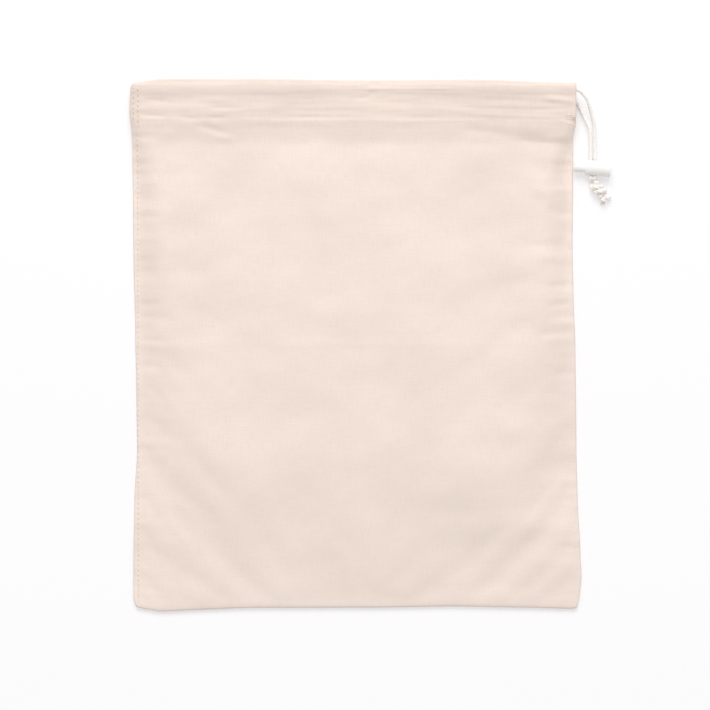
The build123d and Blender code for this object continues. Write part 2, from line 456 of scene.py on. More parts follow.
@dataclass(frozen=True)
class SewingThread:
    """Two-ply cotton thread: a shade lighter than the cloth, with the faint lustre of its finish."""

    colour: str = "FAF1EA"
    shade: str = "EBDCD1"
    needle_hole_shade: str = "8C7464"

    def material(self) -> bpy.types.Material:
        """Build the material. The plies, 0.25 mm apart, are too fine to show and are drawn as wide bands.

        Returns:
            The finished material.
        """
        made, tree = blank_material("SewingThread")
        place = add_node(tree, "TexCoord").outputs["Object"]
        plies = add_node(
            tree,
            "TexWave",
            {"bands_direction": "DIAGONAL", "Scale": 1 / mm(5.0), "Distortion": 1.0},
            {"Vector": place},
        )
        # The darker bands are painted shade, in the grooves between the plies.
        tint = add_node(tree, "ValToRGB", links={0: plies.outputs[1]})
        set_ramp(tint, self.shade, self.colour, 0.5)
        # Painted shade: each stitch is darkened towards its ends, where the thread goes into its needle hole.
        hole_shade_share = add_node(tree, "Attribute", {"attribute_name": "hole_shade_share"})
        coloured = add_node(
            tree, "Mix", {"data_type": "RGBA", 7: linear(self.needle_hole_shade)}, {0: hole_shade_share.outputs["Fac"], 6: tint}
        )
        bump = add_node(tree, "Bump", {"Strength": 0.3, "Distance": mm(0.06)}, {"Height": plies.outputs[1]})
        shader = add_node(
            tree,
            "BsdfPrincipled",
            {"Roughness": 0.65, "IOR": 1.5, "Specular IOR Level": 0.35, "Sheen Weight": 0.15},
            {"Base Color": coloured.outputs[2], "Normal": bump},
        )
        add_node(tree, "OutputMaterial", links={0: shader})
        return made


@dataclass(frozen=True)
class MouldedPolypropylene:
    """Natural white polypropylene from a fine-sparked mould: waxy, half matt and a little translucent."""

    colour: str = "FCFAF6"
    thin: str = "F7F3EE"

    def material(self) -> bpy.types.Material:
        """Build the material. The mould's spark texture is about 0.2 mm and is drawn at 0.5 mm.

        Returns:
            The finished material.
        """
        made, tree = blank_material("MouldedPolypropylene")
        place = add_node(tree, "TexCoord").outputs["Object"]
        flow = add_node(tree, "TexNoise", {"Scale": 1 / mm(7.0), "Detail": 2.0}, {"Vector": place})
        tint = add_node(tree, "ValToRGB", links={0: flow})
        set_ramp(tint, self.thin, self.colour, 0.6)
        spark = add_node(tree, "TexNoise", {"Scale": 1 / mm(0.5), "Detail": 2.0}, {"Vector": place})
        rough = add_node(tree, "MapRange", {"To Min": 0.48, "To Max": 0.62}, {"Value": spark})
        bump = add_node(tree, "Bump", {"Strength": 0.15, "Distance": mm(0.05)}, {"Height": spark})
        shader = add_node(
            tree,
            "BsdfPrincipled",
            {
                "IOR": 1.49,
                "Specular IOR Level": 0.35,
                "Subsurface Weight": 0.3,
                "Subsurface Radius": (1.0, 0.95, 0.9),
                "Subsurface Scale": mm(1.0),
            },
            {"Base Color": tint, "Roughness": rough, "Normal": bump},
        )
        add_node(tree, "OutputMaterial", links={0: shader})
        return made


@dataclass(frozen=True)
class DrawnSpringSteel:
    """Cold-drawn spring wire: bright grey metal with faint lines from the die along its surface."""

    colour: str = "B9BBBD"
    dark: str = "8F9295"

    def material(self) -> bpy.types.Material:
        """Build the material. The die lines are finer than a tenth of a millimetre and are drawn at 0.2 mm.

        Returns:
            The finished material.
        """
        made, tree = blank_material("DrawnSpringSteel")
        place = add_node(tree, "TexCoord").outputs["Object"]
        lines = add_node(tree, "TexNoise", {"Scale": 1 / mm(0.2), "Detail": 2.0}, {"Vector": place})
        tint = add_node(tree, "ValToRGB", links={0: lines})
        set_ramp(tint, self.dark, self.colour)
        rough = add_node(tree, "MapRange", {"To Min": 0.22, "To Max": 0.4}, {"Value": lines})
        shader = add_node(tree, "BsdfPrincipled", {"Metallic": 1.0}, {"Base Color": tint, "Roughness": rough})
        add_node(tree, "OutputMaterial", links={0: shader})
        return made


# ---- studio ----


@dataclass
class Studio:
    """The plain floor, the soft lights and the camera that looks straight down on the bag."""

    view_width: float = 0.4807
    view_centre: Spot = (0.0007, -0.0068)
    camera_height: float = 4.0
    sensor: float = 36.0
    key_place: Point = (0.0, 2.5, 2.9)
    key_size: float = 2.0
    key_power: float = 88.0
    # How strongly the air lights the bag. Seen straight, it is full white.
    sky: float = 0.58
    floor_reach: float = 6.0
    white: str = "FFFEFF"
    # How much of the floor, seen straight, is plain white with no shadow on it.
    floor_glow: float = 0.5

    def camera(self) -> None:
        """Set up the camera above the bag, with the mouth at the top of the view."""
        data = bpy.data.cameras.new("above")
        data.sensor_width = self.sensor
        data.lens = self.sensor * self.camera_height / self.view_width
        data.clip_end = 50.0
        seen_from = in_scene("above", data)
        seen_from.location = (*self.view_centre, self.camera_height)
        bpy.context.scene.camera = seen_from

    def lights(self) -> None:
        """Add one large soft light beyond the mouth and even light from all round."""
        data = bpy.data.lights.new("softbox", "AREA")
        data.energy = self.key_power
        data.size = self.key_size
        lamp = in_scene("softbox", data)
        lamp.location = self.key_place
        lamp.rotation_euler = (-Vector(self.key_place)).to_track_quat("-Z", "Y").to_euler()
        world = bpy.data.worlds.new("studio_air")
        world.use_nodes = True
        tree = world.node_tree
        tree.nodes.clear()
        level = add_node(tree, "MapRange", {"To Min": self.sky}, {"Value": seen_straight(tree)})
        air = add_node(tree, "Background", {"Color": linear(self.white)}, {"Strength": level})
        add_node(tree, "OutputWorld", links={0: air})
        bpy.context.scene.world = world

    def floor(self) -> None:
        """Lay the pale floor that takes the bag's shadow."""
        made, tree = blank_material("PaperSweep")
        seen = seen_straight(tree)
        share = add_node(tree, "Math", {"operation": "MULTIPLY", 1: self.floor_glow}, {0: seen})
        paper = add_node(tree, "BsdfDiffuse", {"Color": linear(self.white)})
        glow = add_node(tree, "Emission", {"Color": linear(self.white), "Strength": 1.0})
        both = add_node(tree, "MixShader", links={0: share, 1: paper, 2: glow})
        add_node(tree, "OutputMaterial", links={0: both})
        bm = bmesh.new()
        bmesh.ops.create_grid(bm, x_segments=1, y_segments=1, size=self.floor_reach)
        mesh = mesh_from(bm, "floor")
        mesh.materials.append(made)
        laid = in_scene("floor", mesh)

    def build(self) -> None:
        """Set the view transform, then build the camera, the lights and the floor."""
        bpy.context.scene.view_settings.view_transform = "Standard"
        self.camera()
        self.lights()
        self.floor()


# ---- shared piece work ----


def new_piece(mesh: bpy.types.Mesh, finish: bpy.types.Material, body: Body) -> bpy.types.Object:
    """Make a finished mesh into a piece of the bag.

    Args:
        mesh: its mesh, in place, which has the piece's name.
        finish: its material.
        body: the CAD body that it rides on.

    Returns:
        The piece.
    """
    mesh.materials.clear()
    mesh.materials.append(finish)
    mesh.polygons.foreach_set("use_smooth", [True] * len(mesh.polygons))
    piece = in_scene(mesh.name, mesh)
    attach(piece, body.value)
    log.info("%s: %d faces", piece.name, len(mesh.polygons))
    return piece


def dressed(node: str, finish: bpy.types.Material) -> bpy.types.Object:
    """Give a piece that keeps its CAD shape its finish.

    Args:
        node: the piece's name in the CAD.
        finish: its material.

    Returns:
        The piece.
    """
    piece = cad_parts[node]
    for slot in piece.material_slots:
        slot.material = finish
    log.info("%s: dressed as %s", node, finish.name)
    return piece


def spline_line(points: list[Point], corner_weight: float = 1.0) -> list[Vector]:
    """The points of a smooth line that a route's points steer.

    Args:
        points: the route, in metres.
        corner_weight: the pull of the last corner, above 1 for a longer straight run after it.

    Returns:
        Points along the smooth line, close together.
    """
    curve = new_curve("route")
    curve.resolution_u = 24
    spline = curve.splines.new("NURBS")
    spline.points.add(len(points) - 1)
    for spot, place in zip(spline.points, points):
        spot.co = (*place, 1.0)
    spline.points[-2].weight = corner_weight
    spline.order_u = 3
    spline.use_endpoint_u = True
    return [v.co.copy() for v in drawn(curve).vertices]


def evenly(line: list[Vector], step: float) -> list[Vector]:
    """Points at even steps along a line.

    Args:
        line: the line's points.
        step: the wanted distance between two points.

    Returns:
        The even points, with both ends.
    """
    reached = [0.0]
    for a, b in zip(line, line[1:]):
        reached.append(reached[-1] + (b - a).length)
    count = max(2, round(reached[-1] / step))
    marks = np.linspace(0.0, reached[-1], count + 1)
    columns = [np.interp(marks, reached, [p[axis] for p in line]) for axis in range(3)]
    return [Vector(place) for place in zip(*columns)]


@dataclass(frozen=True)
class Rope:
    """How a cord is laid up from its strands, in millimetres."""

    # The cord is 2.8 mm. It is laid a little slimmer, so that it clears the lock's slots.
    diameter: float = 2.62
    strands: int = 3
    strand_diameter: float = 1.66
    lay_length: float = 9.0
    step: float = 0.6

    def tubes(self, line: list[Vector], start_turn: float = 0.0, open_out: float = 0.0) -> bpy.types.Mesh:
        """Lay the strands round a line.

        Args:
            line: the line that the cord follows, in metres.
            start_turn: the twist at its start, in turns.
            open_out: how much the strands part at the far end, in millimetres.

        Returns:
            One mesh with a round tube for each strand.
        """
        spots = evenly(line, mm(self.step))
        ways = [(b - a).normalized() for a, b in zip(spots, spots[1:])]
        ways.append(ways[-1])
        side = ways[0].orthogonal().normalized()
        curve = new_curve("strands", mm(self.strand_diameter), 2)
        splines = []
        for _ in range(self.strands):
            spline = curve.splines.new("POLY")
            spline.points.add(len(spots) - 1)
            splines.append(spline)
        offset = mm(self.diameter / 2 - self.strand_diameter / 2)
        for index, (spot, way) in enumerate(zip(spots, ways)):
            side = (side - way * side.dot(way)).normalized()
            across = way.cross(side)
            gone = index * mm(self.step)
            # The strands part over the last quarter of the line.
            parted = mm(open_out) * max(0.0, index / (len(spots) - 1) * 4.0 - 3.0)
            for number, spline in enumerate(splines):
                turn = 2 * math.pi * (gone / mm(self.lay_length) + start_turn + number / self.strands)
                out = side * math.cos(turn) + across * math.sin(turn)
                spline.points[index].co = (*(spot + out * (offset + parted)), 1.0)
        return drawn(curve)


def joined(meshes: list[bpy.types.Mesh], name: str) -> bpy.types.Mesh:
    """Put several meshes into one.

    Args:
        meshes: the meshes, in place.
        name: the new mesh's name.

    Returns:
        The one mesh, with its normals turned outwards.
    """
    bm = bmesh.new()
    for mesh in meshes:
        bm.from_mesh(mesh)
    bmesh.ops.remove_doubles(bm, verts=bm.verts, dist=mm(0.002))
    bmesh.ops.recalc_face_normals(bm, faces=bm.faces)
    return mesh_from(bm, name)


# ---- drawcord ----


@dataclass
class DrawcordEnds:
    """The drawcord's two free ends, from the casings through the cord lock to the knot. Routes in metres."""

    finish: bpy.types.Material
    cord_diameter: float = 2.8
    # The pull of each route's last corner, so that the cord is straight as far up as the lock slides.
    straight_pull: float = 4.0
    rope: Rope = Rope()
    front_route: tuple[Point, ...] = (
        (0.1445, 0.173, 0.01245),
        (0.1508, 0.173, 0.01245),
        (0.1553, 0.1693, 0.0118),
        (0.1589, 0.1637, 0.0104),
        (0.1628, 0.1468, 0.0056),
        (0.1628, 0.11175, 0.0056),
    )
    back_route: tuple[Point, ...] = (
        (0.1445, 0.165, 0.00225),
        (0.1501, 0.165, 0.00225),
        (0.1533, 0.1597, 0.0023),
        (0.16, 0.1452, 0.0056),
        (0.16, 0.11175, 0.0056),
    )
    casing_end: float = 0.151
    # The back cord's twist at its start, in turns.
    back_turn: float = 0.17

    def end(
        self, name: str, route: tuple[Point, ...], start_turn: float, with_pieces: list[bpy.types.Object]
    ) -> None:
        """Args:
            name: the CAD node that it replaces.
            route: the points that steer its line.
            start_turn: where its twist starts, in turns.
            with_pieces: not used.
        """
        line = spline_line(list(route), self.straight_pull)
        mesh = joined([self.rope.tubes(line, start_turn)], name + "_rope")
        piece = new_piece(mesh, self.finish, Body.BAG)
        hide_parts(name)

    def build(self, knot: bpy.types.Object, tails: bpy.types.Object, lock: list[bpy.types.Object]) -> None:
        """Build both ends."""
        self.end("drawcord_front_end", self.front_route, 0.0, [knot, tails])
        self.end("drawcord_back_end", self.back_route, self.back_turn, lock)


@dataclass
class Knot:
    """The overhand knot that both cord ends are tied in, and its two short tails. Millimetres."""

    finish: bpy.types.Material
    top: Point = (162.2, 109.6, 4.3)
    end: Point = (168.2, 101.35, 4.3)
    radius: float = 4.3
    wrap_turns: float = 1.85
    wrap_start: float = 0.3
    wrap_steps: int = 90
    overreach: float = 0.45
    taper: float = 0.62
    # Each tail's lean in degrees, then its height above the table and its length.
    tail_ends: tuple[Point, ...] = ((-34.0, 1.7, 5.4), (30.0, 3.1, 5.2))
    tail_parting: float = 0.25
    yarns: int = 34
    yarn_diameter: float = 0.26
    yarn_lengths: Span = (1.0, 1.8)
    yarn_root: float = 0.8
    fray_radius: float = 0.95
    fray_flare: float = 0.75
    table_gap: float = 0.2
    # The cord lies fuller in the knot than in its free ends.
    rope: Rope = Rope(diameter=3.5, strand_diameter=2.1, lay_length=8.5, step=0.5)

    def way(self) -> Vector:
        """The direction of the knot's length."""
        return (Vector(self.end) - Vector(self.top)).normalized()

    def wrap(self, shift: float) -> list[Vector]:
        """One cord's wraps round the knot.

        Args:
            shift: the cord's place beside its neighbour, in millimetres along the knot.

        Returns:
            The wrap's line, in metres.
        """
        way = self.way()
        side = way.cross(Vector((0, 0, 1))).normalized()
        up = side.cross(way)
        middle = (Vector(self.top) + Vector(self.end)) / 2
        reach = (Vector(self.end) - Vector(self.top)).length / 2 + self.radius * self.overreach
        line = []
        for index in range(self.wrap_steps + 1):
            share = index / self.wrap_steps
            turn = 2 * math.pi * (self.wrap_turns * share + self.wrap_start)
            along = mixed(-reach, reach, share) + shift
            waist = (self.radius - self.rope.diameter / 2) * (1.0 - self.taper * abs(2 * share - 1) ** 3)
            out = side * math.cos(turn) * waist + up * math.sin(turn) * waist
            line.append((middle + way * along + out) * MM)
        return line

    def build(self) -> bpy.types.Object:
        """Build the knot.

        Returns:
            The knot piece, which replaces its CAD solid.
        """
        pair = [(-self.rope.diameter / 2, 0.0), (self.rope.diameter / 2, 0.3)]
        wraps = [self.rope.tubes(self.wrap(shift), start) for shift, start in pair]
        core = [Vector(self.top) * MM, Vector(self.end) * MM]
        wraps.append(self.rope.tubes(core, 0.5))
        piece = new_piece(joined(wraps, "drawcord_knot_rope"), self.finish, Body.BAG)
        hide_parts("drawcord_knot")
        return piece

    def tails(self) -> bpy.types.Object:
        """Build the two short tails with their frayed ends.

        Returns:
            The piece with both tails, which replaces its CAD solid.
        """
        rng = random.Random(7)
        parts = []
        for lean, lift, length in self.tail_ends:
            way = Matrix.Rotation(math.radians(lean), 3, "Z") @ self.way()
            start = Vector((self.end[0], self.end[1], lift))
            line = [(start + way * (length * share)) * MM for share in (0.0, 0.33, 0.66, 1.0)]
            parts.append(self.rope.tubes(line, rng.random(), self.tail_parting))
            parts.append(self.fray(start + way * length, way, rng))
        piece = new_piece(joined(parts, "drawcord_tails_rope"), self.finish, Body.BAG)
        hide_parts("drawcord_tails")
        return piece

    def fray(self, tip: Vector, way: Vector, rng: random.Random) -> bpy.types.Mesh:
        """The loose yarns at a cut end.

        Args:
            tip: where the cord is cut, in millimetres.
            way: the cord's direction there.
            rng: seeded chance.

        Returns:
            One mesh of thin yarns.
        """
        curve = new_curve("yarns", mm(self.yarn_diameter), 1)
        side = way.orthogonal().normalized()
        across = way.cross(side)
        for _ in range(self.yarns):
            turn = rng.uniform(0, 2 * math.pi)
            out = side * math.cos(turn) + across * math.sin(turn)
            from_middle = math.sqrt(rng.random())
            length = rng.uniform(*self.yarn_lengths)
            spline = curve.splines.new("POLY")
            spline.points.add(3)
            for index in range(4):
                share = index / 3
                spread = from_middle * (self.fray_radius + self.fray_flare * share * share)
                place = tip + way * (length * share - self.yarn_root) + out * spread
                place.z = max(place.z, self.table_gap)
                spline.points[index].co = (*(place * MM), 1.0)
        return drawn(curve)


# ---- bag cloth ----


class Relief(Enum):
    """The kinds of line that lie in pressed cloth."""

    RIDGE = "ridge"
    PLEAT = "pleat"


@dataclass(frozen=True)
class Crease:
    """One crease in the front cloth, from one spot to another. Millimetres.

    A ridge stands up softly, and a pleat to a sharp line with a slope on either side. Both sink where their
    height is below 0.
    """

    start: Spot
    end: Spot
    height: float
    width: float
    kind: Relief = Relief.RIDGE
    bow: float = 0.0
    fade_in: float = 1.8
    blunt_end: float = 0.12

    def lift(self, x: np.ndarray, y: np.ndarray) -> np.ndarray:
        """How far the crease lifts each place.

        Args:
            x: places across the bag.
            y: places along the bag.

        Returns:
            The lift at each place, in millimetres.
        """
        run = math.dist(self.start, self.end)
        way = ((self.end[0] - self.start[0]) / run, (self.end[1] - self.start[1]) / run)
        from_x = x - self.start[0]
        from_y = y - self.start[1]
        along = (from_x * way[0] + from_y * way[1]) / run
        aside = from_y * way[0] - from_x * way[1]
        aside = aside - self.bow * (1.0 - (2.0 * along - 1.0) ** 2)
        share = 1.0 - np.abs(2.0 * along - 1.0)
        fade = smooth(share * self.fade_in + self.blunt_end * self.width / run)
        if self.kind is Relief.RIDGE:
            return self.height * fade * np.exp(-((aside / self.width) ** 2))
        return self.height * fade * np.exp(-np.abs(aside) / self.width)


@dataclass
class SlackCloth:
    """How the front cloth settles between its seams, found by cloth simulation. Millimetres.

    The seams are drawn up and the middle is a little too large for its frame, so the cloth buckles as real
    cloth does. The bag's cloth takes on part of that relief.
    """

    half_width: float = 148.0
    low: float = -180.0
    high: float = 151.0
    cell: float = 4.0
    frames: int = 16
    seam_width: float = 5.0
    drawn_up: float = 0.02
    extra: float = 0.006
    air: float = 1.5
    hold: float = 0.06
    share: float = 0.4
    wide: int = 10
    seam_hold: float = 0.35
    first_push: Wave = Wave(0.25, 22.0, 22.0, 3.0)
    over: int = field(init=False)
    up: int = field(init=False)
    relief: np.ndarray = field(init=False)

    def __post_init__(self) -> None:
        """Count the cells, and start with no relief."""
        self.over = round(2 * self.half_width / self.cell)
        self.up = round((self.high - self.low) / self.cell)
        self.relief = np.zeros((self.up + 1, self.over + 1))

    def settle(self, height: Callable[[np.ndarray, np.ndarray], np.ndarray]) -> None:
        """Simulate the cloth and keep its relief.

        Args:
            height: the height of the front panel at each x and y, before its creases.
        """
        mesh, spots = grid_mesh("slack_cloth", self.over, self.up)
        x = spots[:, 0] * self.half_width
        y = mixed(self.low, self.high, (spots[:, 1] + 1.0) / 2.0)
        z = height(x, y) + self.first_push.at(x, y)
        start = np.stack((x, y, z), axis=1)
        mesh.vertices.foreach_set("co", (start * MM).ravel())
        piece = in_scene("slack_cloth", mesh)
        self.pin(piece, x, y)
        self.run(piece)
        settled = bpy.data.meshes.new_from_object(piece.evaluated_get(bpy.context.evaluated_depsgraph_get()))
        rise = points_of(settled)[:, 2] * 1000 - z
        order = np.lexsort((x, y))
        rise = rise[order].reshape(self.up + 1, self.over + 1)
        self.relief = self.share * (rise - self.blurred(rise))
        bpy.data.objects.remove(piece)
        bpy.context.scene.frame_set(1)
        log.info("slack cloth: relief from %.2f to %.2f mm", self.relief.min(), self.relief.max())

    def pin(self, piece: bpy.types.Object, x: np.ndarray, y: np.ndarray) -> None:
        """Mark where the cloth is held and where its seams draw it up.

        Args:
            piece: the cloth.
            x: its points' places across the bag.
            y: its points' places along the bag.
        """
        held = piece.vertex_groups.new(name="held")
        seams = piece.vertex_groups.new(name="seams")
        from_seam = np.minimum(self.half_width - np.abs(x), y - self.low)
        from_hem = self.high - y
        weights = np.where(from_seam < self.seam_width, self.seam_hold, self.hold)
        weights = np.where(from_hem < self.seam_width, 1.0, weights)
        drawn = np.minimum(from_seam, from_hem) < self.seam_width + 1.0
        for index, weight in enumerate(weights):
            held.add([index], float(weight), "REPLACE")
            seams.add([index], float(drawn[index]), "REPLACE")

    def run(self, piece: bpy.types.Object) -> None:
        """Run the cloth solver, with no gravity, as far as the last frame.

        Args:
            piece: the cloth.
        """
        solver = piece.modifiers.new("cloth", "CLOTH")
        cloth = solver.settings
        cloth.quality = 6
        cloth.mass = 0.15
        cloth.tension_stiffness = 25
        cloth.compression_stiffness = 25
        cloth.shear_stiffness = 10
        cloth.bending_stiffness = 0.3
        cloth.tension_damping = 10
        cloth.compression_damping = 10
        cloth.shear_damping = 8
        cloth.use_pressure = True
        cloth.uniform_pressure_force = self.air
        cloth.vertex_group_mass = "held"
        cloth.pin_stiffness = 1.0
        cloth.vertex_group_shrink = "seams"
        cloth.shrink_min = -self.extra
        cloth.shrink_max = self.drawn_up
        cloth.effector_weights.gravity = 0.0
        solver.collision_settings.use_collision = False
        solver.point_cache.frame_start = 1
        solver.point_cache.frame_end = self.frames + 1
        for moment in range(1, self.frames + 1):
            bpy.context.scene.frame_set(moment)

    def blurred(self, values: np.ndarray) -> np.ndarray:
        """The broad shape of the relief, which is left out of it.

        Args:
            values: the relief on its grid.

        Returns:
            The same grid, averaged over a wide square.
        """
        reach = self.wide
        padded = np.pad(values, reach, mode="edge")
        sums = np.cumsum(np.cumsum(np.pad(padded, ((1, 0), (1, 0))), axis=0), axis=1)
        side = 2 * reach + 1
        total = sums[side:, side:] - sums[:-side, side:] - sums[side:, :-side] + sums[:-side, :-side]
        return total / side**2

    def lift(self, x: np.ndarray, y: np.ndarray) -> np.ndarray:
        """The relief at each place, smoothly between the simulated points.

        Args:
            x: places across the bag.
            y: places along the bag.

        Returns:
            The lift at each place, in millimetres.
        """
        over = np.clip((x + self.half_width) / self.cell, 0.0, self.over - 1e-6)
        up = np.clip((y - self.low) / self.cell, 0.0, self.up - 1e-6)
        column, row = over.astype(int), up.astype(int)
        across, along = self.weights(over - column), self.weights(up - row)
        lift = np.zeros_like(x)
        for i in range(4):
            rows = np.clip(row + i - 1, 0, self.up)
            for j in range(4):
                columns = np.clip(column + j - 1, 0, self.over)
                lift += along[i] * across[j] * self.relief[rows, columns]
        return lift

    @staticmethod
    def weights(share: np.ndarray) -> list[np.ndarray]:
        """How much each of four neighbours in line counts, for a soft curve between the middle two."""
        rest = 1.0 - share
        return [
            rest**3 / 6.0,
            (4.0 - 6.0 * share**2 + 3.0 * share**3) / 6.0,
            (4.0 - 6.0 * rest**2 + 3.0 * rest**3) / 6.0,
            share**3 / 6.0,
        ]


